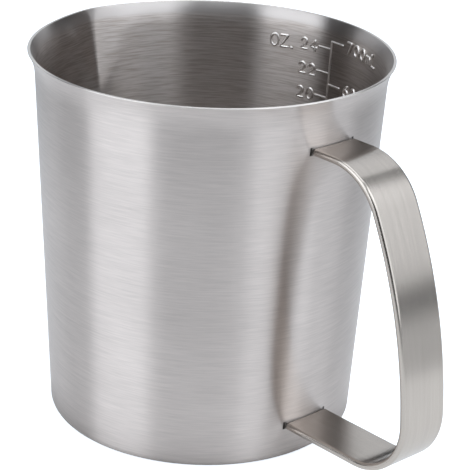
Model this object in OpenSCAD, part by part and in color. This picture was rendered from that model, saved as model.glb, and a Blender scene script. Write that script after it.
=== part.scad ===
// Measuring jug in stainless steel: a drawn bowl with a flared lip, a pressed pouring spout and a
// raised scale on its inner wall, and a bent strap handle that is welded to the wall at both ends.
// The origin is on the resting plane under the middle of the bowl. +Z is up, +X points to the
// handle, -X to the spout and +Y to the scale.

/* [Bowl] */
// Height of the rim above the resting plane
jug_height = 109.5; // [80:0.5:160]
// Outside diameter of the rim
rim_d = 104.4; // [101:0.2:120]
// Outside diameter of the wall at the foot of the lip
mouth_d = 100.2; // [92:0.2:103]
// Outside diameter of the wall where its line meets the resting plane
base_d = 89.6; // [60:0.2:99]
// Thickness of the drawn sheet
sheet = 0.8; // [0.5:0.1:1.5]
// Height of the flared lip
lip_height = 5; // [3:0.5:10]
// Outside radius of the bend under the lip
lip_bend_r = 2.5; // [1:0.5:6]
// Outside radius of the corner round the base
base_corner_r = 2.5; // [2:0.5:10]

/* [Spout] */
// Distance that the tip stands out from the line of the wall
spout_reach = 3.1; // [2.5:0.1:8]
// Height from the rim down to the foot of the crease
spout_depth = 24; // [15:0.5:50]
// Angle from the crease to where a flank meets the rim
spout_spread = 17; // [10:0.5:45]

/* [Scale] */
// Highest millilitre mark
top_ml = 700; // [300:100:1500]
// Millilitres from mark to mark
step_ml = 100; // [50:50:200]
// Highest fluid-ounce mark
top_oz = 24; // [8:2:50]
// Fluid ounces from mark to mark
step_oz = 2; // [1:1:8]
// Length of a mark, from the middle of the upright line
mark_length = 4.8; // [2:0.2:12]
// Width of a raised line
mark_width = 0.7; // [0.4:0.1:1.5]
// Height of a raised line above the wall
mark_rise = 0.3; // [0.1:0.05:0.6]

/* [Handle] */
// Width of the strap
strap_width = 16; // [8:0.5:25]
// Thickness of the strap
strap_thick = 2; // [1.9:0.1:4]
// Radius of the strap's long edges
strap_edge_r = 0.9; // [0.2:0.1:0.9]
// Height from the rim down to the middle of the upper run
upper_drop = 14.6; // [9:0.2:30]
// Height of the middle of the lower run above the resting plane
lower_rise = 11; // [6:0.5:25]
// Length of the straight upper run
upper_run = 7; // [2:0.5:25]
// Radius of the upper bend, to the middle of the strap
upper_bend_r = 18.4; // [6:0.2:25]
// Angle of the upper bend
upper_bend = 63; // [50:1:75]
// Angle through which the grip bows
grip_bow = 23.5; // [12:0.5:30]
// Radius of the lower bend, to the middle of the strap
lower_bend_r = 16.8; // [6:0.2:25]

/* [Welds] */
// Distance that the ends of the weld stay back from the edges of the strap
weld_margin = 0.5; // [0.3:0.1:3]
// Gap that the weld fills where the strap comes nearest to the wall
weld_root = 0.3; // [0.1:0.05:1]
// Distance that the weld stays back from the flat faces of the strap
weld_setback = 0.3; // [0:0.1:0.5]

/* [Hidden] */
$fn = 256;
// Length that cutting forms run past what they cut
overrun = 1;
// Number of straight steps in a rounded bend of the sheet, a flank of the spout, and a bend and an
// edge of the strap
arc_steps = 6;
flank_steps = 8;
bend_steps = 16;
edge_steps = 4;
// Imperial fluid ounces
ml_per_oz = 28.41;
mm3_per_ml = 1000;
// Directions of the scale and the spout, from the handle
scale_azimuth = 91;
spout_azimuth = 182;
// The top of a raised line is this share of its foot
mark_top_share = 0.6;
// A flank of the spout runs on under the wall, to this share of its spread
flank_share = 1.2;

lip_foot = jug_height - lip_height;
wall_slope = (mouth_d - base_d) / 2 / lip_foot;
lip_slope = (rim_d - mouth_d) / 2 / lip_height;
upper_z = jug_height - upper_drop;
spout_foot = jug_height - spout_depth;
// Radius at which the line of the lip would meet the resting plane
lip_base_r = rim_d / 2 - lip_slope * jug_height;

// Radius of a line of the sheet at height z, moved inwards by the depth
function line_r(foot_r, slope, z, depth) = foot_r + slope * z - depth * sqrt(1 + slope * slope);
function wall_r(z, depth = 0) = line_r(base_d / 2, wall_slope, z, depth);
function lip_r(z, depth = 0) = line_r(lip_base_r, lip_slope, z, depth);

// Height to which a volume fills the bowl, from the volume of a frustum on the floor
function cube_root(x) = pow(x, 1 / 3);
function fill_r(ml) = cube_root(pow(wall_r(sheet, sheet), 3) + 3 * wall_slope * ml * mm3_per_ml / PI);
function fill_z(ml) = (fill_r(ml) - wall_r(0, sheet)) / wall_slope;

// Points of an arc that rounds the corner at p between its neighbours a and b
function unit(v) = v / norm(v);
function rounded(a, p, b, r, steps) =
    let (u = unit(a - p), v = unit(b - p), half = acos(u * v) / 2)
    let (middle = p + unit(u + v) * r / sin(half), start = p + u * r / tan(half) - middle)
    let (end = p + v * r / tan(half) - middle, turn = 180 - 2 * half)
    [for (i = [0:steps])
        middle + (start * sin(turn - turn * i / steps) + end * sin(turn * i / steps)) / sin(turn)];

// Points of the half section as [radius, height]: on the wall, at the foot of the lip and at the rim
function on_wall(z, depth) = [wall_r(z, depth), z];
function at_bend(depth) = on_wall((wall_r(0, depth) - lip_r(0, depth)) / (lip_slope - wall_slope), depth);
function at_rim(depth, top) = [lip_r(top, depth), top];

// Half section of the bowl's form, moved inwards by the depth and closed at height top
function bowl_outline(depth, top) =
    let (floor_middle = [0, depth], corner = on_wall(depth, depth), bend = at_bend(depth))
    let (rim = at_rim(depth, top))
    concat(
        [floor_middle],
        rounded(floor_middle, corner, bend, base_corner_r - depth, arc_steps),
        rounded(corner, bend, rim, lip_bend_r + depth, arc_steps),
        [rim, [0, top]]
    );

// Level section through the spout, at a point of the turned form: two flanks that fall away from a
// straight crease and take up the flare of the lip on their way, and the jug's axis
function spout_ring(point, depth) =
    let (z = point[1], rise = (z - spout_foot) / spout_depth, flat_r = wall_r(z, depth))
    concat(
        [[0, 0, z]],
        [for (i = [-flank_steps:flank_steps])
            let (away = flank_share * i / flank_steps, turn = spout_spread * away, fall = abs(away))
            let (r = flat_r + spout_reach * (rise - fall) + (point[0] - flat_r) * fall / rise)
            [r * cos(turn), r * sin(turn), z]]
    );

// Solid through a row of sections that have the same number of points
module loft(rings) {
    n = len(rings[0]);
    top = (len(rings) - 1) * n;
    sides = [for (k = [0:n:top - n], i = [0:n - 1])
        let (j = (i + 1) % n)
        [k + i, k + n + i, k + n + j, k + j]];
    first_face = [for (i = [0:n - 1]) i];
    last_face = [for (i = [n - 1:-1:0]) top + i];
    points = [for (ring = rings) each ring];
    polyhedron(points, concat(sides, [first_face, last_face]), convexity = 4);
}

// The bowl before its spout is pressed, as one solid form
module turned_form(depth, top) {
    rotate_extrude() polygon(bowl_outline(depth, top));
}

// The bowl with its spout, as one solid form
module bowl_form(depth, top) {
    spout_line = [on_wall(spout_foot - overrun, depth), at_bend(depth), at_rim(depth, top)];
    turned_form(depth, top);
    rotate([0, 0, spout_azimuth]) loft([for (point = spout_line) spout_ring(point, depth)]);
}

// One mark of the scale, a raised line round the inner wall from the middle of the upright line
module mark(z, side) {
    r = wall_r(z, sheet);
    foot = mark_width / 2;
    crest = foot * mark_top_share;
    rotate([0, 0, scale_azimuth])
        rotate_extrude(angle = side * mark_length / r * 180 / PI)
            polygon([
                [r + sheet, z - foot],
                [r + sheet, z + foot],
                [r, z + foot],
                [r - mark_rise, z + crest],
                [r - mark_rise, z - crest],
                [r, z - foot]
            ]);
}

// The upright line that the marks of both scales start from
module upright_line(low, high) {
    spread = mark_width / wall_r(high, sheet) * 180 / PI;
    rotate([0, 0, scale_azimuth - spread / 2])
        rotate_extrude(angle = spread)
            polygon([
                [wall_r(low, sheet) - mark_rise, low],
                [wall_r(low), low],
                [wall_r(high), high],
                [wall_r(high, sheet) - mark_rise, high]
            ]);
}

// Both scales: fluid ounces towards the spout, millilitres towards the handle
module raised_scale() {
    clear_top = lip_foot - mark_width;
    oz_marks = [for (v = [top_oz:-step_oz:step_oz]) fill_z(v * ml_per_oz)];
    ml_marks = [for (v = [top_ml:-step_ml:step_ml]) fill_z(v)];
    oz_on_wall = [for (z = oz_marks) if (z < clear_top) z];
    ml_on_wall = [for (z = ml_marks) if (z < clear_top) z];
    all_marks = concat(oz_on_wall, ml_on_wall);
    for (z = oz_on_wall) mark(z, 1);
    for (z = ml_on_wall) mark(z, -1);
    upright_line(min(all_marks), max(all_marks));
}

// The drawn bowl, with its rim trimmed level
module body() {
    drawn_top = jug_height + overrun;
    color("silver")
        difference() {
            bowl_form(0, drawn_top);
            difference() {
                bowl_form(sheet, drawn_top + overrun);
                raised_scale();
            }
            translate([0, 0, jug_height]) cylinder(jug_height, r = rim_d);
        }
}

// The strap's path, as frames of [x, z, angle below level] along its middle
end_bend = upper_bend + grip_bow;
upper_fall = upper_bend_r * (1 - cos(upper_bend));
lower_fall = lower_bend_r * (1 + cos(end_bend));
grip_r = (upper_z - lower_rise - upper_fall - lower_fall) / (cos(upper_bend) - cos(end_bend));
function last(list) = list[len(list) - 1];
function straight(f, length) = [f[0] + length * cos(f[2]), f[1] - length * sin(f[2]), f[2]];
function bent(f, r, angle) =
    [for (i = [1:bend_steps])
        let (turn = f[2] + angle * i / bend_steps)
        [f[0] + r * (sin(turn) - sin(f[2])), f[1] + r * (cos(turn) - cos(f[2])), turn]];
strap_start = [wall_r(upper_z) + weld_root, upper_z, 0];
upper_end = straight(strap_start, upper_run);
upper_arc = bent(upper_end, upper_bend_r, upper_bend);
grip_arc = bent(last(upper_arc), grip_r, grip_bow);
lower_arc = bent(last(grip_arc), lower_bend_r, 180 - end_bend);
lower_run = last(lower_arc)[0] - wall_r(lower_rise) - weld_root;
strap_end = straight(last(lower_arc), lower_run);
strap_frames = concat([strap_start, upper_end], upper_arc, grip_arc, lower_arc, [strap_end]);

// Section of the strap as [across, outwards], with its long edges rounded
corner_signs = [[1, 1], [-1, 1], [-1, -1], [1, -1]];
function strap_corner(i) = let (s = corner_signs[i % 4]) [s[0] * strap_width, s[1] * strap_thick] / 2;
strap_section = [for (i = [0:3])
    each rounded(strap_corner(i + 3), strap_corner(i), strap_corner(i + 1), strap_edge_r, edge_steps)];
function strap_ring(f) =
    [for (q = strap_section) [f[0] + q[1] * sin(f[2]), q[0], f[1] + q[1] * cos(f[2])]];

module handle() {
    color("gainsboro") loft([for (f = strap_frames) strap_ring(f)]);
}

// Weld metal between the straight end of the strap and the round wall
module weld(z) {
    bead = strap_thick - 2 * weld_setback;
    middle = strap_width - 2 * weld_margin - bead;
    difference() {
        translate([0, 0, z])
            rotate([90, 0, 90])
                linear_extrude(wall_r(z) + weld_root) {
                    square([middle, bead], center = true);
                    for (side = [-1, 1])
                        translate([side * middle / 2, 0]) circle(bead / 2);
                }
        turned_form(0, jug_height);
    }
}

module upper_weld() {
    color("darkgray") weld(upper_z);
}

module lower_weld() {
    color("darkgray") weld(lower_rise);
}

body();
handle();
upper_weld();
lower_weld();
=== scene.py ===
import math

import bpy
from mathutils import Matrix, Vector


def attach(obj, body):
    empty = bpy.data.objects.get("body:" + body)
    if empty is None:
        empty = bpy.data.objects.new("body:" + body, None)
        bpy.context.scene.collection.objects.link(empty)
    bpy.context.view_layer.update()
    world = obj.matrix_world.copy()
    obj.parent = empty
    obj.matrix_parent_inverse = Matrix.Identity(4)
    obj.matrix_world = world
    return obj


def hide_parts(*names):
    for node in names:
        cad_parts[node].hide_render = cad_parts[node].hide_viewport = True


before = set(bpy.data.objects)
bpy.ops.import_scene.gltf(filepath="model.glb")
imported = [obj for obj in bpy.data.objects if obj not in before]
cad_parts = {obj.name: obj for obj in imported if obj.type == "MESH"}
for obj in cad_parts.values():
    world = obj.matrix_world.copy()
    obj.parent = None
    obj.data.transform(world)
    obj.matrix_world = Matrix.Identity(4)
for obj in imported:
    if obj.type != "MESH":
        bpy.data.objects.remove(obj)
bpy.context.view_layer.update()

# Bowl
# The bowl is one drawn sheet of stainless steel: a flat floor, a wall that opens upwards, a lip
# that flares out, and a spout pressed into the rim. It is brushed round its axis, inside and out.
JUG_HEIGHT = 0.1095
RIM_R = 0.0522
MOUTH_R = 0.0501
BASE_R = 0.0448
SHEET = 0.0008
LIP_HEIGHT = 0.005
BASE_CORNER_R = 0.0025
RIM_EDGE_R = 0.00016
RIM_EDGE_LENGTH = 0.0004
LIP_FOOT = JUG_HEIGHT - LIP_HEIGHT
WALL_SLOPE = (MOUTH_R - BASE_R) / LIP_FOOT
WALL_SLANT = math.sqrt(1 + WALL_SLOPE * WALL_SLOPE)
# The flare is a smooth curve: it leaves the wall at its start, and the line that it ends on meets
# the wall's line at its aim
FLARE_START = LIP_FOOT - 0.0025
FLARE_AIM = LIP_FOOT + 0.002
SPOUT_REACH = 0.0031
SPOUT_DEPTH = 0.024
SPOUT_SPREAD = math.radians(17)
SPOUT_AZIMUTH = math.radians(182)
SPOUT_FOOT = JUG_HEIGHT - SPOUT_DEPTH
# How soft the crease is at its foot and at the rim, as angles, how late the one becomes the other,
# and the share of the softness that goes back into the crease's reach
CREASE_SOFTNESS = math.radians(0.8)
TIP_SOFTNESS = math.radians(1.6)
TIP_POWER = 3.0
CREASE_LIFT = 0.6
# How soft the flanks meet the wall, how far under the crease and how many spreads beside it the
# press touches the sheet, and the least share of the rise that the lip's flare is divided by
FLANK_BLEND = 0.0007
SPOUT_MARGIN = 0.003
PRESS_SPREADS = 1.5
LEAST_RISE = 0.1
# Fineness of the mesh
BOWL_TURNS = 720
RING_STEP = 0.0009
FLOOR_RINGS = 6
LOWER_WALL_RINGS = 8
FOOT_STEPS = 10
FLARE_STEPS = 16
RIM_STEPS = 6
JOIN_GAP = 1e-6


def wall_r(z, depth=0.0):
    """Radius of the wall at a height, on its outer face or at a depth inside it."""
    return BASE_R + WALL_SLOPE * z - depth * WALL_SLANT


def lip_curve(depth):
    """Points of the lip's curve on one face of the sheet, up to the level of the rim."""
    start = Vector((wall_r(FLARE_START), FLARE_START))
    aim = Vector((wall_r(FLARE_AIM), FLARE_AIM))
    rim = Vector((RIM_R, JUG_HEIGHT))
    points = []
    for i in range(FLARE_STEPS + 1):
        t = i / FLARE_STEPS
        on_curve = start.lerp(aim, t).lerp(aim.lerp(rim, t), t)
        along = (aim - start).lerp(rim - aim, t).normalized()
        point = on_curve + depth * Vector((-along.y, along.x))
        if point.y >= JUG_HEIGHT:
            share = (JUG_HEIGHT - points[-1].y) / (point.y - points[-1].y)
            return points + [points[-1].lerp(point, share)]
        points.append(point)
    return points


def rounded(before, corner, after, radius, steps):
    """Points of the arc that rounds a corner of a flat outline."""
    a, p, b = Vector(before), Vector(corner), Vector(after)
    u, v = (a - p).normalized(), (b - p).normalized()
    half = u.angle(v) / 2
    middle = p + (u + v).normalized() * radius / math.sin(half)
    start = p + u * radius / math.tan(half) - middle
    end = p + v * radius / math.tan(half) - middle
    turn = math.pi - 2 * half
    points = []
    for i in range(steps + 1):
        to_start, to_end = math.sin(turn - turn * i / steps), math.sin(turn * i / steps)
        points.append(tuple(middle + (start * to_start + end * to_end) / math.sin(turn)))
    return points


def between(start, end, count):
    """Points that part a straight line into equal steps, without its ends."""
    return [tuple(Vector(start).lerp(Vector(end), i / count)) for i in range(1, count)]


def bowl_skin(depth):
    """Half section of one face of the sheet, from the middle of the floor to just under the rim."""
    middle, corner = (0.0, depth), (wall_r(depth, depth), depth)
    press_z = SPOUT_FOOT - SPOUT_MARGIN
    press = (wall_r(press_z, depth), press_z)
    foot = rounded(middle, corner, press, BASE_CORNER_R - depth, FOOT_STEPS)
    lip = lip_curve(depth)
    below_edge = [tuple(p) for p in lip if (lip[-1] - p).length > RIM_EDGE_LENGTH]
    edge = tuple(lip[-1] + (lip[-2] - lip[-1]).normalized() * RIM_EDGE_LENGTH)
    pressed_rings = max(1, round((lip[0] - Vector(press)).length / RING_STEP))
    return (
        [middle]
        + between(middle, foot[0], FLOOR_RINGS)
        + foot
        + between(foot[-1], press, LOWER_WALL_RINGS)
        + [press]
        + between(press, lip[0], pressed_rings)
        + below_edge
        + [edge]
    )


outer_skin, inner_skin = bowl_skin(0.0), bowl_skin(SHEET)
rim_out, rim_in = tuple(lip_curve(0.0)[-1]), tuple(lip_curve(SHEET)[-1])
rim_edge = rounded(outer_skin[-1], rim_out, rim_in, RIM_EDGE_R, RIM_STEPS)
rim_edge += rounded(rim_out, rim_in, inner_skin[-1], RIM_EDGE_R, RIM_STEPS)
half_section = outer_skin + rim_edge + inner_skin[::-1]
# How far each point lies inside the outer face, measured level
inner_inset = SHEET * WALL_SLANT
rim_insets = [inner_inset * i / (len(rim_edge) - 1) for i in range(len(rim_edge))]
insets = [0.0] * len(outer_skin) + rim_insets + [inner_inset] * len(inner_skin)


def add(tree, kind, inputs=None, **settings):
    """Adds a node with its settings, and links or sets the inputs that are given by name or number."""
    made = tree.nodes.new(kind)
    for name, value in settings.items():
        setattr(made, name, value)
    for key, value in (inputs or {}).items():
        if isinstance(value, bpy.types.NodeSocket):
            tree.links.new(value, made.inputs[key])
        else:
            made.inputs[key].default_value = value
    return made


def calc(tree, operation, *values):
    return add(tree, "ShaderNodeMath", dict(enumerate(values)), operation=operation).outputs[0]


def plus(tree, a, b):
    return calc(tree, "ADD", a, b)


def minus(tree, a, b):
    return calc(tree, "SUBTRACT", a, b)


def times(tree, first, *others):
    for other in others:
        first = calc(tree, "MULTIPLY", first, other)
    return first


def hypot(tree, a, b):
    return calc(tree, "SQRT", plus(tree, times(tree, a, a), times(tree, b, b)))


def ramp(tree, value, start, end, low, high, blend="SMOOTHSTEP"):
    """A value that goes from low to high while another one goes from start to end."""
    limits = {0: value, 1: start, 2: end, 3: low, 4: high}
    return add(tree, "ShaderNodeMapRange", limits, interpolation_type=blend).outputs[0]


def vector_of(tree, x, y, z):
    return add(tree, "ShaderNodeCombineXYZ", {0: x, 1: y, 2: z}).outputs[0]


def parts_of(tree, vector):
    return add(tree, "ShaderNodeSeparateXYZ", {0: vector}).outputs


def round_place(tree, radius, angle, height):
    """The place at a radius and an angle round the jug's axis."""
    x = times(tree, radius, calc(tree, "COSINE", angle))
    y = times(tree, radius, calc(tree, "SINE", angle))
    return vector_of(tree, x, y, height)


def new_tree(name, kind, inputs, outputs):
    """A node tree with named sockets, each given as name: socket type."""
    tree = bpy.data.node_groups.new(name, kind)
    for in_out, sockets in (("INPUT", inputs), ("OUTPUT", outputs)):
        for label, socket_type in sockets.items():
            tree.interface.new_socket(label, in_out=in_out, socket_type=socket_type)
    return tree, tree.nodes.new("NodeGroupInput").outputs, tree.nodes.new("NodeGroupOutput").inputs


# Fine lines that a brushing belt leaves in steel, shared by every metal of the jug. The grain
# vector is long along the lines and short across them; the place is where soft patches lie.
brushing, brush_in, brush_out = new_tree(
    "brushing",
    "ShaderNodeTree",
    {"Grain": "NodeSocketVector", "Place": "NodeSocketVector"},
    {"Lines": "NodeSocketFloat", "Streaks": "NodeSocketFloat", "Patches": "NodeSocketFloat"},
)
for label, guide, scale, detail, roughness in (
    ("Lines", "Grain", 1.0, 3.0, 0.7),
    ("Streaks", "Grain", 0.5, 2.0, 0.6),
    ("Patches", "Place", 1.0, 2.0, 0.5),
):
    noise = {"Vector": brush_in[guide], "Scale": scale, "Detail": detail, "Roughness": roughness}
    brushing.links.new(add(brushing, "ShaderNodeTexNoise", noise).outputs["Fac"], brush_out[label])
# Range that most of the noise lies in, weight of the streaks against the patches, depth of a line
NOISE_LOW, NOISE_HIGH = 0.3, 0.7
STREAK_WEIGHT, PATCH_WEIGHT = 0.6, 0.4
LINE_DEPTH = 0.00005


def scaled(tree, place, sizes):
    """A place in finer units, such as grains to the metre, along each axis."""
    return add(tree, "ShaderNodeVectorMath", {0: place, 1: sizes}, operation="MULTIPLY").outputs[0]


def steel(name, grain_of, light, dark, gloss, gloss_spread, relief, stretch, patch_scale):
    """A brushed steel: grain_of lays its lines, light and dark are its tones, gloss its roughness."""
    metal = bpy.data.materials.new(name)
    metal.use_nodes = True
    tree = metal.node_tree
    shader = tree.nodes["Principled BSDF"]
    place = add(tree, "ShaderNodeTexCoord").outputs["Object"]
    guides = {"Grain": grain_of(tree, place), "Place": scaled(tree, place, (patch_scale,) * 3)}
    brushed = add(tree, "ShaderNodeGroup", guides, node_tree=brushing).outputs
    streaks = times(tree, brushed["Streaks"], STREAK_WEIGHT)
    tone = plus(tree, streaks, times(tree, brushed["Patches"], PATCH_WEIGHT))
    share = ramp(tree, tone, NOISE_LOW, NOISE_HIGH, 0.0, 1.0, "LINEAR")
    colour = add(tree, "ShaderNodeMix", {0: share, 6: dark, 7: light}, data_type="RGBA").outputs[2]
    smoothest, roughest = gloss - gloss_spread, gloss + gloss_spread
    rough = ramp(tree, brushed["Lines"], NOISE_LOW, NOISE_HIGH, smoothest, roughest, "LINEAR")
    lines = {"Strength": relief, "Distance": LINE_DEPTH, "Height": brushed["Lines"]}
    tree.links.new(colour, shader.inputs["Base Color"])
    tree.links.new(rough, shader.inputs["Roughness"])
    tree.links.new(add(tree, "ShaderNodeBump", lines).outputs[0], shader.inputs["Normal"])
    shader.inputs["Metallic"].default_value = 1.0
    shader.inputs["Anisotropic"].default_value = stretch
    if stretch:
        across = add(tree, "ShaderNodeTangent", direction_type="UV_MAP", uv_map="brush")
        tree.links.new(across.outputs[0], shader.inputs["Tangent"])
    return metal


def toned(metal, mask_of, tone, gloss, blend="MIX"):
    """Gives a steel another tone and gloss where the mask is 1, or with MULTIPLY tints its own tone."""
    tree = metal.node_tree
    shader = tree.nodes["Principled BSDF"]
    mask = mask_of(tree, add(tree, "ShaderNodeTexCoord").outputs["Object"])
    plain_tone = shader.inputs["Base Color"].links[0].from_socket
    plain_gloss = shader.inputs["Roughness"].links[0].from_socket
    tones, glosses = {0: mask, 6: plain_tone, 7: tone}, {0: mask, 2: plain_gloss, 3: gloss}
    new_tone = add(tree, "ShaderNodeMix", tones, data_type="RGBA", blend_type=blend).outputs[2]
    new_gloss = add(tree, "ShaderNodeMix", glosses, data_type="FLOAT").outputs[0]
    tree.links.new(new_tone, shader.inputs["Base Color"])
    tree.links.new(new_gloss, shader.inputs["Roughness"])


# Brush lines to the metre round the bowl, and along them
ROUND_LINES = 5200.0
ROUND_LENGTHS = 240.0


def round_grain(tree, place):
    """Brush lines round the jug's axis: on the wall they lie level, on the floor in rings."""
    x, y, z = parts_of(tree, place)
    on_floor = calc(tree, "MINIMUM", hypot(tree, x, y), BASE_R - BASE_CORNER_R)
    across = times(tree, minus(tree, z, on_floor), ROUND_LINES)
    return vector_of(tree, times(tree, x, ROUND_LENGTHS), times(tree, y, ROUND_LENGTHS), across)


bowl_steel = steel(
    "bowl_steel",
    round_grain,
    light=(0.665, 0.603, 0.572, 1),
    dark=(0.52, 0.471, 0.447, 1),
    gloss=0.34,
    gloss_spread=0.04,
    relief=0.32,
    stretch=1.0,
    patch_scale=30.0,
)
# The brush map measures the half section: these are shares of it, from the rim down the lip's
# inner face. The streaks inside are coarser, and the painted shade inside follows them from its
# least to its most.
LIP_FADE_Z = LIP_FOOT + 0.0026
LIP_END_Z = LIP_FOOT + 0.001
COARSE_LOW, COARSE_HIGH = 0.35, 0.65
LEAST_TINT, MOST_TINT = 0.1, 0.9
section_steps = len(half_section) - 1
lip_top = len(outer_skin) + len(rim_edge)
lip_fade = (lip_top + sum(1 for r, z in inner_skin if z > LIP_FADE_Z)) / section_steps
lip_end = (lip_top + sum(1 for r, z in inner_skin if z > LIP_END_Z)) / section_steps
inside_start = (lip_top - 1) / section_steps


def section_share(tree):
    """Share of the half section, from the middle of the floor outside to its middle inside."""
    return parts_of(tree, add(tree, "ShaderNodeUVMap", uv_map="brush").outputs[0])[0]


def on_rim(tree, place):
    """The trimmed edge of the sheet, painted lighter: a painted highlight along the rim."""
    z = parts_of(tree, place)[2]
    return ramp(tree, z, JUG_HEIGHT - 2 * RIM_EDGE_R, JUG_HEIGHT - RIM_EDGE_R, 0.0, 1.0)


def on_inside(tree, place):
    """The inner face of the sheet, brushed more coarsely and darkened with a warm painted shade along
    each line.
    """
    inside = calc(tree, "GREATER_THAN", section_share(tree), inside_start)
    guides = {"Grain": round_grain(tree, place), "Place": place}
    coarse = add(tree, "ShaderNodeGroup", guides, node_tree=brushing).outputs["Streaks"]
    tint = ramp(tree, coarse, COARSE_LOW, COARSE_HIGH, LEAST_TINT, MOST_TINT, "LINEAR")
    return times(tree, inside, tint)


def on_inner_lip(tree, place):
    """The inner face of the lip, painted lighter than the shaded inside wall: a painted highlight."""
    share = section_share(tree)
    inside = calc(tree, "GREATER_THAN", share, inside_start)
    return times(tree, inside, ramp(tree, share, lip_fade, lip_end, 1.0, 0.0))


# Painted highlight: the rim's edge is painted lighter than the brushed steel.
toned(bowl_steel, on_rim, tone=(0.80, 0.75, 0.71, 1), gloss=0.4)
# Painted shade: the inside is darkened and warmed along its coarser brush lines.
toned(bowl_steel, on_inside, tone=(0.58, 0.555, 0.525, 1), gloss=0.34, blend="MULTIPLY")
# Painted highlight: the lip's inner face is painted lighter, without the inside's painted shade.
toned(bowl_steel, on_inner_lip, tone=(0.50, 0.46, 0.44, 1), gloss=0.3)
# Faces that meet at more than this angle have a sharp edge
SHARP_ANGLE = math.radians(50)


def shape_tree(name, inputs):
    """A Geometry Nodes tree that takes a mesh, named sizes and a metal, and gives a mesh."""
    sockets = {"Geometry": "NodeSocketGeometry", **inputs, "Metal": "NodeSocketMaterial"}
    return new_tree(name, "GeometryNodeTree", sockets, {"Geometry": "NodeSocketGeometry"})


def finish_tree(tree, mesh, metal, out):
    """Ends a tree as every shape here ends: smooth faces, real geometry and the metal."""
    smooth = add(tree, "GeometryNodeSetShadeSmooth", {0: mesh, 2: True}).outputs[0]
    angle = add(tree, "GeometryNodeInputMeshEdgeAngle").outputs[0]
    edges = {0: smooth, 1: calc(tree, "GREATER_THAN", angle, SHARP_ANGLE), 2: False}
    creased = add(tree, "GeometryNodeSetShadeSmooth", edges, domain="EDGE").outputs[0]
    real = add(tree, "GeometryNodeRealizeInstances", {0: creased}).outputs[0]
    dressed = add(tree, "GeometryNodeSetMaterial", {0: real, "Material": metal}).outputs[0]
    tree.links.new(dressed, out[0])


def sample(tree, source, kind, value, index):
    inputs = {"Geometry": source, "Value": value, "Index": index}
    return add(tree, "GeometryNodeSampleIndex", inputs, data_type=kind, domain="POINT").outputs[0]


def named(tree, name):
    return add(tree, "GeometryNodeInputNamedAttribute", {"Name": name}, data_type="FLOAT").outputs[0]


def mapped_grid(tree, rows, columns):
    """A flat grid whose own map is kept as the brush map."""
    grid = add(tree, "GeometryNodeMeshGrid", {"Vertices X": rows, "Vertices Y": columns}).outputs
    kept = {"Geometry": grid["Mesh"], "Name": "brush", "Value": grid["UV Map"]}
    kind = {"data_type": "FLOAT2", "domain": "CORNER"}
    return add(tree, "GeometryNodeStoreNamedAttribute", kept, **kind).outputs[0]


def grid_places(tree, columns):
    """Row and column of each point of a grid. The half keeps the division clear of rounding."""
    count = add(tree, "GeometryNodeInputIndex").outputs[0]
    row = calc(tree, "FLOOR", calc(tree, "DIVIDE", plus(tree, count, 0.5), columns))
    return row, minus(tree, count, times(tree, row, columns))


def placed(tree, mesh, place):
    return add(tree, "GeometryNodeSetPosition", {"Geometry": mesh, "Position": place}).outputs[0]


def merged(tree, mesh, gap):
    return add(tree, "GeometryNodeMergeByDistance", {0: mesh, "Distance": gap}).outputs[0]


def flipped(tree, mesh):
    return add(tree, "GeometryNodeFlipFaces", {0: mesh}).outputs[0]


def point_mesh(name, points, numbers):
    """A mesh of loose points, with lists of numbers stored on them by name."""
    mesh = bpy.data.meshes.new(name)
    mesh.from_pydata(points, [], [])
    for label, values in numbers.items():
        mesh.attributes.new(label, "FLOAT", "POINT").data.foreach_set("value", values)
    return mesh


def shaped(name, mesh, tree, values):
    """The plain mesh object that a Geometry Nodes tree makes out of a mesh and its inputs' values."""
    source = bpy.data.objects.new(name + "_source", mesh)
    bpy.context.collection.objects.link(source)
    modifier = source.modifiers.new("shape", "NODES")
    modifier.node_group = tree
    for item in tree.interface.items_tree:
        if item.in_out == "INPUT" and item.name in values:
            modifier[item.identifier] = values[item.name]
    evaluated = source.evaluated_get(bpy.context.evaluated_depsgraph_get())
    result = bpy.data.meshes.new_from_object(evaluated)
    source.modifiers.remove(modifier)
    bpy.data.objects.remove(source)
    result.name = name
    made = bpy.data.objects.new(name, result)
    bpy.context.collection.objects.link(made)
    return made


# The half section is swept round the axis on a grid, and each point is then moved out to where
# the press pushed the sheet: the greater of the turned radius and the spout's, with a soft join.
spin, spin_in, spin_out = shape_tree(
    "spun_bowl",
    {
        "Turns": "NodeSocketInt",
        "Wall foot radius": "NodeSocketFloat",
        "Wall slope": "NodeSocketFloat",
        "Spout foot": "NodeSocketFloat",
        "Spout depth": "NodeSocketFloat",
        "Spout reach": "NodeSocketFloat",
        "Spout spread": "NodeSocketFloat",
        "Spout margin": "NodeSocketFloat",
        "Spout azimuth": "NodeSocketFloat",
        "Crease softness": "NodeSocketFloat",
        "Tip softness": "NodeSocketFloat",
        "Flank blend": "NodeSocketFloat",
    },
)
section = spin_in["Geometry"]
rings = add(spin, "GeometryNodeAttributeDomainSize", {0: section}).outputs["Point Count"]
columns = plus(spin, spin_in["Turns"], 1.0)
ring, column = grid_places(spin, columns)
where = add(spin, "GeometryNodeInputPosition").outputs[0]
ring_place = parts_of(spin, sample(spin, section, "FLOAT_VECTOR", where, ring))
flat_r, height = ring_place[0], ring_place[2]
inset = sample(spin, section, "FLOAT", named(spin, "inset"), ring)
turn = times(spin, minus(spin, calc(spin, "DIVIDE", column, spin_in["Turns"]), 0.5), 2 * math.pi)
rise = minus(spin, height, spin_in["Spout foot"])
rise_share = calc(spin, "DIVIDE", rise, spin_in["Spout depth"])
tip_share = calc(spin, "POWER", calc(spin, "MAXIMUM", rise_share, 0.0), TIP_POWER)
softer = times(spin, tip_share, minus(spin, spin_in["Tip softness"], spin_in["Crease softness"]))
soft = plus(spin, spin_in["Crease softness"], softer)
off_crease = hypot(spin, turn, soft)
fall = minus(spin, off_crease, times(spin, soft, CREASE_LIFT))
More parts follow.
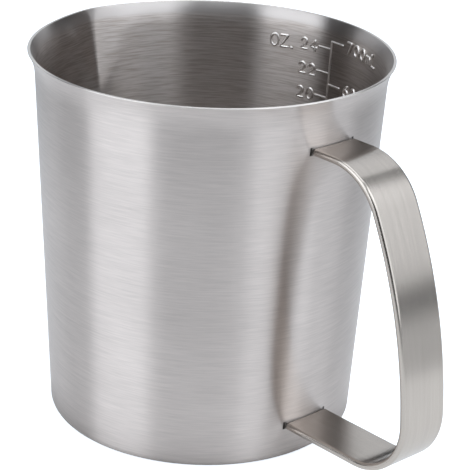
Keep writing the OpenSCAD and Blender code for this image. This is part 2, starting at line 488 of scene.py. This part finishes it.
fall_share = calc(spin, "DIVIDE", fall, spin_in["Spout spread"])
outer_line = plus(spin, spin_in["Wall foot radius"], times(spin, spin_in["Wall slope"], height))
wall_line = minus(spin, outer_line, inset)
flare = minus(spin, flat_r, wall_line)
flare_share = calc(spin, "DIVIDE", fall_share, calc(spin, "MAXIMUM", rise_share, LEAST_RISE))
flank = times(spin, spin_in["Spout reach"], minus(spin, rise_share, fall_share))
pressed_r = plus(spin, plus(spin, wall_line, flank), times(spin, flare, flare_share))
joined_r = calc(spin, "SMOOTH_MAX", flat_r, pressed_r, spin_in["Flank blend"])
press_foot = minus(spin, spin_in["Spout foot"], spin_in["Spout margin"])
in_press = calc(spin, "GREATER_THAN", height, press_foot)
press_side = times(spin, spin_in["Spout spread"], PRESS_SPREADS)
near_spout = calc(spin, "LESS_THAN", off_crease, press_side)
pushed = times(spin, in_press, near_spout, minus(spin, joined_r, flat_r))
facing = plus(spin, turn, spin_in["Spout azimuth"])
spun_place = round_place(spin, plus(spin, flat_r, pushed), facing, height)
spun = placed(spin, mapped_grid(spin, rings, columns), spun_place)
finish_tree(spin, flipped(spin, merged(spin, spun, JOIN_GAP)), spin_in["Metal"], spin_out)
bowl = shaped(
    "bowl",
    point_mesh("bowl_section", [(r, 0, z) for r, z in half_section], {"inset": insets}),
    spin,
    {
        "Turns": BOWL_TURNS,
        "Wall foot radius": BASE_R,
        "Wall slope": WALL_SLOPE,
        "Spout foot": SPOUT_FOOT,
        "Spout depth": SPOUT_DEPTH,
        "Spout reach": SPOUT_REACH,
        "Spout spread": SPOUT_SPREAD,
        "Spout margin": SPOUT_MARGIN,
        "Spout azimuth": SPOUT_AZIMUTH,
        "Crease softness": CREASE_SOFTNESS,
        "Tip softness": TIP_SOFTNESS,
        "Flank blend": FLANK_BLEND,
        "Metal": bowl_steel,
    },
)
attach(bowl, "root")
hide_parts("body")

# Scale
# Marks and plain numbers are stamped into the sheet from outside, so that they stand out from the
# inner wall as low round ridges. Fluid ounces lie towards the spout, millilitres towards the handle.
TOP_ML, STEP_ML = 700, 100
TOP_OZ, STEP_OZ = 24, 2
ML_PER_OZ = 28.41
M3_PER_ML = 1e-6
SCALE_AZIMUTH = math.radians(91)
MARK_LENGTH = 0.0048
MARK_WIDTH = 0.0007
MARK_RISE = 0.0003
FIGURE_WIDTH = 0.00076
FIGURE_RISE = 0.00034
DIGIT_HEIGHT = 0.0033
OZ_UNIT_HEIGHT = 0.0036
FIGURE_ADVANCE = 0.0035
NUMBER_GAP = 0.0022
OZ_NUMBER_START = -0.0114
OZ_UNIT_START = -0.0219
# The ounce numbers and their unit stand a little lower than their marks
OZ_NUMBER_DROP = 0.0002
OZ_UNIT_DROP = 0.0008
OZ_PLACES = 2
PEN_STEP = 0.0003
RIDGE_POINTS = 12
TIP_RINGS = 8
# Brush lines to the metre up the scale, and along them
LEVEL_GRAIN = (60.0, 60.0, 3600.0)


def fill_z(ml):
    """Height to which a volume fills the bowl."""
    cubed = wall_r(SHEET, SHEET) ** 3 + 3 * WALL_SLOPE * ml * M3_PER_ML / math.pi
    return (cubed ** (1 / 3) - wall_r(0, SHEET)) / WALL_SLOPE


def arc(x, y, size, start, end, steps=14):
    """Points of part of an oval, from one angle in degrees to another."""
    angles = [math.radians(start + (end - start) * i / steps) for i in range(steps + 1)]
    return [(x + size[0] * math.cos(a), y + size[1] * math.sin(a)) for a in angles]


# Each figure is a set of pen strokes, in shares of the figure's height
FIGURES = {
    "0": [arc(0.34, 0.5, (0.34, 0.5), 90, 450, 24)],
    "1": [[(0.12, 0.80), (0.34, 1.0), (0.34, 0.0)]],
    "2": [arc(0.30, 0.71, (0.29, 0.29), 170, -38) + [(0.02, 0.0), (0.62, 0.0)]],
    "3": [arc(0.28, 0.74, (0.26, 0.26), 150, -80) + arc(0.28, 0.27, (0.30, 0.27), 80, -150)],
    "4": [[(0.48, 0.0), (0.48, 1.0), (0.0, 0.30), (0.68, 0.30)]],
    "5": [[(0.56, 1.0), (0.12, 1.0), (0.06, 0.56)] + arc(0.28, 0.32, (0.32, 0.32), 125, -145)],
    "6": [[(0.50, 0.97), (0.30, 0.88), (0.12, 0.68)] + arc(0.32, 0.31, (0.31, 0.30), 170, 530, 20)],
    "7": [[(0.0, 1.0), (0.60, 1.0), (0.22, 0.0)]],
    "8": [arc(0.32, 0.76, (0.24, 0.24), -90, 270, 18), arc(0.32, 0.27, (0.30, 0.27), 90, 450, 18)],
    "O": [arc(0.40, 0.5, (0.35, 0.5), 90, 450, 24)],
    "Z": [[(0.0, 1.0), (0.66, 1.0), (0.0, 0.0), (0.66, 0.0)]],
    ".": [[(0.0, 0.06), (0.1, 0.0)]],
    "m": [[(0.0, 0.64), (0.0, 0.0)]]
    + [arc(x, 0.46, (0.17, 0.18), 180, 0, 10) + [(x + 0.17, 0.0)] for x in (0.17, 0.51)],
    "L": [[(0.0, 1.0), (0.0, 0.0), (0.64, 0.0)]],
}


def figure_strokes(words, x, z, height=DIGIT_HEIGHT):
    """Strokes of a row of figures that starts at x, with the middle of its height at z."""
    strokes = []
    for place, letter in enumerate(words):
        left = x + place * FIGURE_ADVANCE
        foot = z - height / 2
        for stroke in FIGURES[letter]:
            strokes.append([(left + px * height, foot + pz * height) for px, pz in stroke])
    return strokes


oz_heights = {value: fill_z(value * ML_PER_OZ) for value in range(TOP_OZ, 0, -STEP_OZ)}
ml_heights = {value: fill_z(value) for value in range(TOP_ML, 0, -STEP_ML)}
all_heights = [*oz_heights.values(), *ml_heights.values()]
mark_strokes = [[(0.0, min(all_heights)), (0.0, max(all_heights))]]
mark_strokes += [[(-MARK_LENGTH, z), (0.0, z)] for z in oz_heights.values()]
mark_strokes += [[(0.0, z), (MARK_LENGTH, z)] for z in ml_heights.values()]
unit_z = oz_heights[TOP_OZ] - OZ_UNIT_DROP
number_strokes = figure_strokes("OZ.", OZ_UNIT_START, unit_z, OZ_UNIT_HEIGHT)
for value, z in oz_heights.items():
    first_place = (OZ_PLACES - len(str(value))) * FIGURE_ADVANCE
    number_strokes += figure_strokes(str(value), OZ_NUMBER_START + first_place, z - OZ_NUMBER_DROP)
for value, z in ml_heights.items():
    unit = "mL" if value == TOP_ML else ""
    number_strokes += figure_strokes(str(value) + unit, MARK_LENGTH + NUMBER_GAP, z)


def joined(tree, *meshes):
    whole = add(tree, "GeometryNodeJoinGeometry")
    for mesh in meshes:
        tree.links.new(mesh, whole.inputs[0])
    return whole.outputs[0]


# The tree sweeps a low oval along each stroke, rounds the stroke's ends, and lays the flat work on
# the inner wall: x runs round the wall towards the handle, y is the height, z stands out from it.
stamp, stamp_in, stamp_out = shape_tree(
    "stamped_lines",
    {
        "Line width": "NodeSocketFloat",
        "Line rise": "NodeSocketFloat",
        "Wall foot radius": "NodeSocketFloat",
        "Wall slope": "NodeSocketFloat",
        "Azimuth": "NodeSocketFloat",
    },
)
half_line = times(stamp, stamp_in["Line width"], 0.5)
oval_size = vector_of(stamp, half_line, stamp_in["Line rise"], 1.0)
circle_shape = {"Resolution": RIDGE_POINTS, "Radius": 1.0}
circle = add(stamp, "GeometryNodeCurvePrimitiveCircle", circle_shape).outputs[0]
oval = add(stamp, "GeometryNodeTransform", {"Geometry": circle, "Scale": oval_size}).outputs[0]
pen = add(stamp, "GeometryNodeMeshToCurve", {0: stamp_in["Geometry"]}).outputs[0]
pen_path = {"Curve": pen, "Length": PEN_STEP}
steps = add(stamp, "GeometryNodeResampleCurve", pen_path, mode="LENGTH").outputs[0]
level = add(stamp, "GeometryNodeSetCurveNormal", {0: steps}, mode="Z_UP").outputs[0]
ridge_shape = {"Curve": level, "Profile Curve": oval, "Fill Caps": True}
ridge = add(stamp, "GeometryNodeCurveToMesh", ridge_shape).outputs[0]
tip_shape = {"Segments": RIDGE_POINTS, "Rings": TIP_RINGS, "Radius": 1.0}
tip = add(stamp, "GeometryNodeMeshUVSphere", tip_shape).outputs[0]
tip_size = vector_of(stamp, half_line, half_line, stamp_in["Line rise"])
at_ends = add(stamp, "GeometryNodeCurveEndpointSelection").outputs[0]
tip_places = {"Points": level, "Selection": at_ends, "Instance": tip, "Scale": tip_size}
tips = add(stamp, "GeometryNodeInstanceOnPoints", tip_places).outputs[0]
real_tips = add(stamp, "GeometryNodeRealizeInstances", {0: tips}).outputs[0]
raised = joined(stamp, ridge, merged(stamp, real_tips, JOIN_GAP))
flat_x, flat_y, flat_z = parts_of(stamp, add(stamp, "GeometryNodeInputPosition").outputs[0])
skin_r = plus(stamp, stamp_in["Wall foot radius"], times(stamp, stamp_in["Wall slope"], flat_y))
round_by = minus(stamp, stamp_in["Azimuth"], calc(stamp, "DIVIDE", flat_x, skin_r))
laid = round_place(stamp, minus(stamp, skin_r, flat_z), round_by, flat_y)
finish_tree(stamp, placed(stamp, raised, laid), stamp_in["Metal"], stamp_out)


def level_grain(tree, place):
    """Brush lines that lie level on the scale, as the wall's do."""
    return scaled(tree, place, LEVEL_GRAIN)


# The ridges are the bowl's own sheet; their light tones are a painted highlight, so that the marks and
# figures read bright on the wall.
highlit_scale_steel = steel(
    "highlit_scale_steel",
    level_grain,
    light=(0.93, 0.88, 0.84, 1),
    dark=(0.84, 0.795, 0.76, 1),
    gloss=0.32,
    gloss_spread=0.04,
    relief=0.1,
    stretch=0.0,
    patch_scale=120.0,
)
for name, strokes, line_width, line_rise in (
    ("scale_marks", mark_strokes, MARK_WIDTH, MARK_RISE),
    ("scale_numbers", number_strokes, FIGURE_WIDTH, FIGURE_RISE),
):
    pen_points, pen_lines = [], []
    for stroke in strokes:
        first = len(pen_points)
        pen_points += [(x, z, 0.0) for x, z in stroke]
        pen_lines += [(i, i + 1) for i in range(first, len(pen_points) - 1)]
    pen_mesh = bpy.data.meshes.new(name + "_strokes")
    pen_mesh.from_pydata(pen_points, pen_lines, [])
    ridges = shaped(
        name,
        pen_mesh,
        stamp,
        {
            "Line width": line_width,
            "Line rise": line_rise,
            "Wall foot radius": wall_r(0, SHEET),
            "Wall slope": WALL_SLOPE,
            "Azimuth": SCALE_AZIMUTH,
            "Metal": highlit_scale_steel,
        },
    )
    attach(ridges, "root")

# Handle
# The handle is one strap of thicker stainless steel, cut straight at both ends, bent to a bow and
# brushed lengthwise. Its long edges are rounded and its ends are welded to the wall.
STRAP_WIDTH = 0.016
STRAP_THICK = 0.002
STRAP_EDGE_R = 0.0009
STRAP_END_R = 0.0001
UPPER_DROP = 0.0146
LOWER_RISE = 0.011
UPPER_RUN = 0.007
UPPER_BEND_R = 0.0184
UPPER_BEND = math.radians(63)
GRIP_BOW = math.radians(23.5)
LOWER_BEND_R = 0.0168
WELD_ROOT = 0.0003
UPPER_Z = JUG_HEIGHT - UPPER_DROP
END_BEND = UPPER_BEND + GRIP_BOW
UPPER_FALL = UPPER_BEND_R * (1 - math.cos(UPPER_BEND))
LOWER_FALL = LOWER_BEND_R * (1 + math.cos(END_BEND))
GRIP_FALL = UPPER_Z - LOWER_RISE - UPPER_FALL - LOWER_FALL
GRIP_R = GRIP_FALL / (math.cos(UPPER_BEND) - math.cos(END_BEND))
# Fineness of the mesh, and the distance from a rounded edge at which its flat face gets a line
BEND_STEPS = 40
END_STEPS = 4
UPPER_RUN_STEPS = 4
LOWER_RUN_STEPS = 6
EDGE_STEPS = 6
FACE_STEPS = 6
EDGE_GUARD = STRAP_EDGE_R / 8
STRAP_JOIN_GAP = 1e-7
# Brush lines to the metre across the strap, and along it
LONG_GRAIN = (60.0, 2600.0, 60.0)


def straight(start, length, steps):
    """Stations of a straight run, each with its place and heading."""
    x, z, angle = start
    reaches = [length * i / steps for i in range(1, steps + 1)]
    return [(x + reach * math.cos(angle), z - reach * math.sin(angle), angle) for reach in reaches]


def bent(start, radius, angle):
    """Stations of a bend."""
    x, z, before = start
    stations = []
    for i in range(1, BEND_STEPS + 1):
        turned = before + angle * i / BEND_STEPS
        outwards = radius * (math.sin(turned) - math.sin(before))
        down = radius * (math.cos(turned) - math.cos(before))
        stations.append((x + outwards, z + down, turned))
    return stations


strap = [(wall_r(UPPER_Z) + WELD_ROOT, UPPER_Z, 0.0)]
strap += straight(strap[-1], STRAP_END_R, END_STEPS)
strap += straight(strap[-1], UPPER_RUN - STRAP_END_R, UPPER_RUN_STEPS)
strap += bent(strap[-1], UPPER_BEND_R, UPPER_BEND)
strap += bent(strap[-1], GRIP_R, GRIP_BOW)
strap += bent(strap[-1], LOWER_BEND_R, math.pi - END_BEND)
lower_run = strap[-1][0] - wall_r(LOWER_RISE) - WELD_ROOT
strap += straight(strap[-1], lower_run - STRAP_END_R, LOWER_RUN_STEPS)
strap += straight(strap[-1], STRAP_END_R, END_STEPS)

# At each end the section draws in by a hair, so that the cut has a broken edge
quarter = math.pi / 2
end_insets = [STRAP_END_R * (1 - math.sin(quarter * i / END_STEPS)) for i in range(END_STEPS + 1)]
strap_insets = end_insets + [0.0] * (len(strap) - 2 * len(end_insets)) + end_insets[::-1]

half_w, half_t = STRAP_WIDTH / 2, STRAP_THICK / 2
strap_corners = [(half_w, half_t), (-half_w, half_t), (-half_w, -half_t), (half_w, -half_t)]
corner_count = len(strap_corners)
strap_section = []
for i, corner in enumerate(strap_corners):
    after, next_after = (strap_corners[(i + step) % corner_count] for step in (1, 2))
    edge = rounded(strap_corners[i - 1], corner, after, STRAP_EDGE_R, EDGE_STEPS)
    face_start = Vector(edge[-1])
    face_end = Vector(rounded(corner, after, next_after, STRAP_EDGE_R, EDGE_STEPS)[0])
    face_length = (face_end - face_start).length
    strap_section += edge
    strap_section.append(tuple(face_start.lerp(face_end, EDGE_GUARD / face_length)))
    if face_length > half_w:
        strap_section += between(face_start, face_end, FACE_STEPS)
    strap_section.append(tuple(face_end.lerp(face_start, EDGE_GUARD / face_length)))
strap_section.append(strap_section[0])

# The strap's section is carried along its path on a grid: the first points of the source mesh are
# the path, the others the section, and two flat faces close the ends.
sweep, sweep_in, sweep_out = shape_tree(
    "bent_strap", {"Path points": "NodeSocketInt", "Section points": "NodeSocketInt"}
)
strap_lines = sweep_in["Geometry"]
path_points, section_points = sweep_in["Path points"], sweep_in["Section points"]
where = add(sweep, "GeometryNodeInputPosition").outputs[0]


def on_strap(station, spot):
    """Place of a section's point at a station of the path."""
    path_place = parts_of(sweep, sample(sweep, strap_lines, "FLOAT_VECTOR", where, station))
    heading = sample(sweep, strap_lines, "FLOAT", named(sweep, "heading"), station)
    draw_in = sample(sweep, strap_lines, "FLOAT", named(sweep, "inset"), station)
    section_point = plus(sweep, spot, path_points)
    section_place = parts_of(sweep, sample(sweep, strap_lines, "FLOAT_VECTOR", where, section_point))
    across, outwards = (
        minus(sweep, side, times(sweep, calc(sweep, "SIGN", side), draw_in))
        for side in (section_place[0], section_place[1])
    )
    return vector_of(
        sweep,
        plus(sweep, path_place[0], times(sweep, outwards, calc(sweep, "SINE", heading))),
        across,
        plus(sweep, path_place[2], times(sweep, outwards, calc(sweep, "COSINE", heading))),
    )


spot, station = grid_places(sweep, path_points)
sides = placed(sweep, mapped_grid(sweep, section_points, path_points), on_strap(station, spot))
loop_points = minus(sweep, section_points, 1.0)
cut = add(sweep, "GeometryNodeMeshCircle", {"Vertices": loop_points}, fill_type="NGON").outputs[0]
cut_spot = add(sweep, "GeometryNodeInputIndex").outputs[0]
upper_cut = flipped(sweep, placed(sweep, cut, on_strap(0, cut_spot)))
lower_cut = placed(sweep, cut, on_strap(minus(sweep, path_points, 1.0), cut_spot))
whole_strap = merged(sweep, joined(sweep, sides, upper_cut, lower_cut), STRAP_JOIN_GAP)
finish_tree(sweep, whole_strap, sweep_in["Metal"], sweep_out)


def long_grain(tree, place):
    """Brush lines along the strap, which bends only in the plane across its width."""
    return scaled(tree, place, LONG_GRAIN)


strap_steel = steel(
    "strap_steel",
    long_grain,
    light=(0.53, 0.476, 0.43, 1),
    dark=(0.462, 0.414, 0.373, 1),
    gloss=0.22,
    gloss_spread=0.03,
    relief=0.08,
    stretch=0.6,
    patch_scale=40.0,
)
path = [(x, 0, z) for x, z, angle in strap]
outline = [(across, outwards, 0) for across, outwards in strap_section]
no_turn = [0.0] * len(strap_section)
handle = shaped(
    "strap_handle",
    point_mesh(
        "strap_lines",
        path + outline,
        {"heading": [angle for x, z, angle in strap] + no_turn, "inset": strap_insets + no_turn},
    ),
    sweep,
    {"Path points": len(strap), "Section points": len(strap_section), "Metal": strap_steel},
)
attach(handle, "root")
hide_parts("handle")

# Welds
# A bead of weld metal joins each end of the strap to the wall. It was never brushed, so it is dull
# and dark, with the fine ripple that a weld pool leaves, and its heat leaves a scale in the joint.
# The bead's dark tone and the joint's near-black are partly painted shade, standing for the shade
# in the narrow gap between the strap's end and the wall.
SCALE_AND_SHADE_FULL = 0.00005
SCALE_AND_SHADE_END = 0.0003
JOINT_DEPTH = 0.0012
# The scale and its painted shade are full at the corners of the strap and thin along its end
CORNER_REACH = 0.0014
THIN_SCALE_AND_SHADE = 0.15
# Ripples to the metre along the bead, and across it
BEAD_GRAIN = (400.0, 1800.0, 400.0)
scorch_and_shade, scorch_and_shade_in, scorch_and_shade_out = new_tree(
    "weld_scale_and_shade",
    "ShaderNodeTree",
    {
        "Place": "NodeSocketVector",
        "Joint radius": "NodeSocketFloat",
        "Joint height": "NodeSocketFloat",
        "Half width": "NodeSocketFloat",
        "Half thickness": "NodeSocketFloat",
    },
    {"Scale": "NodeSocketFloat"},
)
x, y, z = parts_of(scorch_and_shade, scorch_and_shade_in["Place"])
past_end = minus(scorch_and_shade, x, scorch_and_shade_in["Joint radius"])
before_end = minus(scorch_and_shade, times(scorch_and_shade, past_end, -1.0), JOINT_DEPTH)
past_edge = minus(scorch_and_shade, calc(scorch_and_shade, "ABSOLUTE", y), scorch_and_shade_in["Half width"])
off_middle = calc(scorch_and_shade, "ABSOLUTE", minus(scorch_and_shade, z, scorch_and_shade_in["Joint height"]))
past_face = minus(scorch_and_shade, off_middle, scorch_and_shade_in["Half thickness"])
off_end = calc(scorch_and_shade, "MAXIMUM", past_end, before_end)
beyond = [calc(scorch_and_shade, "MAXIMUM", past, 0.0) for past in (off_end, past_edge, past_face)]
beyond_joint = {0: vector_of(scorch_and_shade, *beyond)}
from_joint = add(scorch_and_shade, "ShaderNodeVectorMath", beyond_joint, operation="LENGTH").outputs["Value"]
all_round = ramp(scorch_and_shade, from_joint, SCALE_AND_SHADE_FULL, SCALE_AND_SHADE_END, 1.0, 0.0)
to_corner = ramp(scorch_and_shade, past_edge, -CORNER_REACH, 0.0, THIN_SCALE_AND_SHADE, 1.0)
scorch_and_shade.links.new(times(scorch_and_shade, all_round, to_corner), scorch_and_shade_out["Scale"])


def in_joint(tree, place):
    """Both joints of the strap, with the weld's scale and the painted shade of the gap round them."""
    marks = []
    for joint_z in (UPPER_Z, LOWER_RISE):
        joint = {
            "Place": place,
            "Joint radius": wall_r(joint_z) + WELD_ROOT,
            "Joint height": joint_z,
            "Half width": half_w,
            "Half thickness": half_t,
        }
        marks.append(add(tree, "ShaderNodeGroup", joint, node_tree=scorch_and_shade).outputs["Scale"])
    return calc(tree, "MAXIMUM", *marks)


def bead_grain(tree, place):
    """Ripples that follow one another along the bead."""
    return scaled(tree, place, BEAD_GRAIN)


# Weld scale and painted shade: the joints are painted near-black round the strap's ends.
for metal in (bowl_steel, strap_steel):
    toned(metal, in_joint, tone=(0.055, 0.048, 0.042, 1), gloss=0.55)
# The weld's dark tone is partly painted shade for the gap that it sits in.
weld_steel = steel(
    "weld_steel",
    bead_grain,
    light=(0.34, 0.31, 0.285, 1),
    dark=(0.07, 0.062, 0.055, 1),
    gloss=0.4,
    gloss_spread=0.1,
    relief=0.4,
    stretch=0.0,
    patch_scale=300.0,
)
for name in ("upper_weld", "lower_weld"):
    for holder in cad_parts[name].material_slots:
        holder.material = weld_steel

# Floor
# The jug stands on a plain pale floor that reads as white to the eye, lies as a pool of soft white
# in the steel, and still takes the jug's shadow.
FLOOR_HALF = 4.0
FLOOR_COLOUR = (0.6, 0.6, 0.6, 1)
LIGHT_COLOUR = (0.93, 1.0, 1.07)
# Glow that the eye sees, and that the steel sees as a painted pool of light, dimmed to a painted
# shadow where the base meets the floor
EYE_GLOW = 0.9
STEEL_GLOW = 0.46
STEEL_GLOW_NEAR = 0.05
SHADE_START = 0.045
SHADE_END = 0.056
# The pool ends beside the jug, beyond the handle, and fades away all round it
VIEW_AZIMUTH = math.radians(136.69)
VIEW_X, VIEW_Y = math.cos(VIEW_AZIMUTH), math.sin(VIEW_AZIMUTH)
POOL_NEAR = 0.224
POOL_FAR = 0.244
POOL_FADE = 0.22
POOL_END = 0.5
floor_mesh = bpy.data.meshes.new("floor")
floor_corners = [(x * FLOOR_HALF, y * FLOOR_HALF, 0) for x, y in ((-1, -1), (1, -1), (1, 1), (-1, 1))]
floor_mesh.from_pydata(floor_corners, [], [(0, 1, 2, 3)])
floor = bpy.data.objects.new("floor", floor_mesh)
bpy.context.collection.objects.link(floor)
floor_paint = bpy.data.materials.new("floor_paint")
floor_paint.use_nodes = True
tree = floor_paint.node_tree
tree.nodes.remove(tree.nodes["Principled BSDF"])
rays = add(tree, "ShaderNodeLightPath").outputs
spot_x, spot_y, spot_z = parts_of(tree, add(tree, "ShaderNodeTexCoord").outputs["Object"])
beside = minus(tree, times(tree, spot_x, VIEW_Y), times(tree, spot_y, VIEW_X))
away = hypot(tree, spot_x, spot_y)
pool = ramp(tree, beside, POOL_NEAR, POOL_FAR, 1.0, 0.0)
fade = ramp(tree, away, POOL_FADE, POOL_END, STEEL_GLOW, 0.0)
shade = ramp(tree, away, SHADE_START, SHADE_END, STEEL_GLOW_NEAR / STEEL_GLOW, 1.0)
eye_glow = times(tree, rays["Is Camera Ray"], EYE_GLOW)
steel_glow = times(tree, rays["Is Glossy Ray"], pool, fade, shade)
lit = {"Color": (*LIGHT_COLOUR, 1), "Strength": plus(tree, eye_glow, steel_glow)}
glow = add(tree, "ShaderNodeEmission", lit).outputs[0]
matt = add(tree, "ShaderNodeBsdfDiffuse", {"Color": FLOOR_COLOUR}).outputs[0]
both = add(tree, "ShaderNodeAddShader", {0: matt, 1: glow}).outputs[0]
tree.links.new(both, tree.nodes["Material Output"].inputs["Surface"])
floor_mesh.materials.append(floor_paint)

# Light
# Plain soft studio light: soft boxes overhead and on both sides, a wide strip and a small high box
# behind, in a room that is dark at eye level and paler towards its ceiling and its front.
ROOM_LOW = 0.03
ROOM_HIGH = 0.42
ROOM_LOW_Z = math.sin(math.radians(22))
ROOM_HIGH_Z = math.sin(math.radians(50))
ROOM_FRONT = 1.7
FRONT_START = -0.1
FRONT_FULL = 0.5
world = bpy.data.worlds.new("room")
bpy.context.scene.world = world
world.use_nodes = True
tree = world.node_tree
room = tree.nodes["Background"]
room.inputs["Color"].default_value = (*LIGHT_COLOUR, 1)
sight_x, sight_y, sight_z = parts_of(tree, add(tree, "ShaderNodeTexCoord").outputs["Generated"])
paleness = ramp(tree, sight_z, ROOM_LOW_Z, ROOM_HIGH_Z, ROOM_LOW, ROOM_HIGH)
to_front = plus(tree, times(tree, sight_x, -VIEW_X), times(tree, sight_y, -VIEW_Y))
front_share = ramp(tree, to_front, FRONT_START, FRONT_FULL, 1.0, ROOM_FRONT)
tree.links.new(times(tree, paleness, front_share), room.inputs["Strength"])


def soft_box(name, azimuth, elevation, distance, width, height, radiance):
    """A rectangular lamp that faces the jug. Its radiance is the brightness of its face."""
    lamp = bpy.data.lights.new(name, "AREA")
    lamp.shape = "RECTANGLE"
    lamp.size, lamp.size_y = width, height
    lamp.energy = radiance * math.pi * width * height
    lamp.color = LIGHT_COLOUR
    made = bpy.data.objects.new(name, lamp)
    bpy.context.collection.objects.link(made)
    a, e = math.radians(azimuth), math.radians(elevation)
    outwards = Vector((math.cos(a) * math.cos(e), math.sin(a) * math.cos(e), math.sin(e)))
    made.location = outwards * distance + Vector((0, 0, JUG_HEIGHT / 2))
    made.rotation_euler = outwards.to_track_quat("Z", "Y").to_euler()


soft_box("left_box", azimuth=-100, elevation=22, distance=0.9, width=0.73, height=0.80, radiance=2.3)
soft_box("right_box", azimuth=10, elevation=30, distance=0.9, width=0.82, height=1.0, radiance=1.68)
soft_box("side_box", azimuth=47, elevation=32, distance=0.9, width=0.36, height=1.0, radiance=1.15)
soft_box("back_box", azimuth=150, elevation=25, distance=0.9, width=2.6, height=0.4, radiance=0.85)
soft_box("high_box", azimuth=106, elevation=48, distance=0.9, width=0.55, height=0.3, radiance=0.8)
soft_box("top_box", azimuth=0, elevation=90, distance=1.2, width=0.87, height=0.87, radiance=1.65)

# Camera
# The camera looks down on the jug from the side away from the spout, with the handle to the right.
# Its place, tilt and lens were fitted to the outlines of the real jug.
CAMERA_PLACE = (0.3853, -0.3513, 0.2680)
CAMERA_DIP = 0.3908
CAMERA_ROLL = 0.0441
CAMERA_LENS = 147.02
CAMERA_SENSOR = 36.0
CAMERA_CLIP = 0.01
camera_data = bpy.data.cameras.new("camera")
camera_data.sensor_width = CAMERA_SENSOR
camera_data.lens = CAMERA_LENS
camera_data.clip_start = CAMERA_CLIP
camera = bpy.data.objects.new("camera", camera_data)
bpy.context.collection.objects.link(camera)
camera.matrix_world = (
    Matrix.Translation(CAMERA_PLACE)
    @ Matrix.Rotation(VIEW_AZIMUTH - math.pi / 2, 4, "Z")
    @ Matrix.Rotation(math.pi / 2 - CAMERA_DIP, 4, "X")
    @ Matrix.Rotation(CAMERA_ROLL, 4, "Z")
)
bpy.context.scene.camera = camera
bpy.context.scene.view_settings.view_transform = "Standard"
